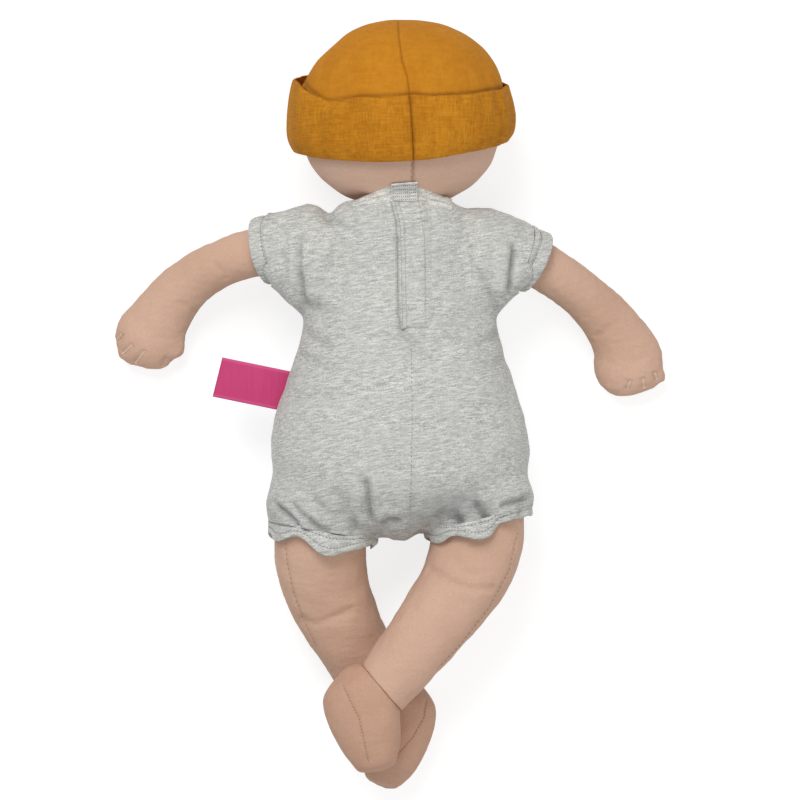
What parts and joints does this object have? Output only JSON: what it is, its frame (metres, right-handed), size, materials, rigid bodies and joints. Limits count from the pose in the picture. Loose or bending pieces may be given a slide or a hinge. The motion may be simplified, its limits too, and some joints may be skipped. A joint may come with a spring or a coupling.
{
  "type": "baby doll",
  "caption": "Soft stuffed cotton baby doll lying on its tummy, in a short-sleeved jersey romper with a back closure and a gauze hat with a turned-up cuff.",
  "frame": {"origin": "where the tummy rests on the table, in the middle of the flat patch of the romper's front panel", "axes": "+Y runs from the feet to the head, +Z out of the back and away from the table, +X to the doll's right"},
  "size_m": [0.2734, 0.3825, 0.0921],
  "materials": {
    "cotton_skin": "matte woven cotton",
    "grey_jersey": "marl jersey knit",
    "mustard_gauze": "crinkled double gauze",
    "grey_tape": "hook-and-loop tape",
    "white_elastic": "woven elastic",
    "magenta_ribbon": "satin ribbon",
    "pouch_cotton": "plain cotton"
  },
  "bodies": {
    "doll": {"torso": "cotton_skin", "pellet_pouch": "pouch_cotton", "romper_front": "grey_jersey", "romper_back_left": "grey_jersey", "romper_back_right": "grey_jersey", "neck_binding": "grey_jersey", "loop_tape": "grey_tape"},
    "back_flap": {"hook_tape": "grey_tape", "closure_flap": "grey_jersey", "neck_tab": "grey_jersey"},
    "side_tab": {"label_tab": "magenta_ribbon"},
    "doll_head": {"head": "cotton_skin"},
    "hat": {"hat_left": "mustard_gauze", "hat_right": "mustard_gauze"},
    "left_arm": {"arm_left": "cotton_skin", "sleeve_left": "grey_jersey", "sleeve_hem_left": "grey_jersey"},
    "right_arm": {"arm_right": "cotton_skin", "sleeve_right": "grey_jersey", "sleeve_hem_right": "grey_jersey"},
    "left_leg": {"leg_left": "cotton_skin", "foot_left": "cotton_skin", "romper_leg_left": "grey_jersey", "leg_hem_left": "grey_jersey", "leg_elastic_left": "white_elastic"},
    "right_leg": {"leg_right": "cotton_skin", "foot_right": "cotton_skin", "romper_leg_right": "grey_jersey", "leg_hem_right": "grey_jersey", "leg_elastic_right": "white_elastic"}
  },
  "joints": [
    {"name": "neck_turn", "type": "hinge", "parent": "doll", "child": "doll_head", "pos_m": [0, 0.15521, 0.04578], "axis": [0, 0.989, 0.1478], "range_deg": [-25, 25]},
    {"name": "hat_pull", "type": "slide", "parent": "doll_head", "child": "hat", "axis": [0, 0.989, 0.1478], "range_m": [0, 0.09]},
    {"name": "shoulder_left", "type": "hinge", "parent": "doll", "child": "left_arm", "pos_m": [-0.048, 0.09213, 0.0402], "axis": [0, 0, -1], "range_deg": [-15, 60], "deforming": ["sleeve_left", "sleeve_hem_left"]},
    {"name": "shoulder_right", "type": "hinge", "parent": "doll", "child": "right_arm", "pos_m": [0.048, 0.09213, 0.0402], "axis": [0, 0, 1], "range_deg": [-15, 60], "deforming": ["sleeve_right", "sleeve_hem_right"]},
    {"name": "hip_left", "type": "hinge", "parent": "doll", "child": "left_leg", "pos_m": [-0.0385, -0.0338, 0.0402], "axis": [0, 0, -1], "range_deg": [-3, 35], "deforming": ["romper_leg_left", "leg_hem_left", "leg_elastic_left"]},
    {"name": "hip_right", "type": "hinge", "parent": "doll", "child": "right_leg", "pos_m": [0.0385, -0.0338, 0.0402], "axis": [0, 0, 1], "range_deg": [-3, 35], "deforming": ["romper_leg_right", "leg_hem_right", "leg_elastic_right"]},
    {"name": "flap_open", "type": "hinge", "parent": "doll", "child": "back_flap", "pos_m": [0.0146, 0.0806, 0.07106], "axis": [0, 0.9975, -0.0708], "range_deg": [0, 85]},
    {"name": "tab_fold", "type": "hinge", "parent": "doll", "child": "side_tab", "pos_m": [-0.0591, 0.0193, 0.0402], "axis": [0.2296, 0.9733, 0], "range_deg": [-60, 60], "stiffness_Nm_per_rad": 0.001}
  ]
}
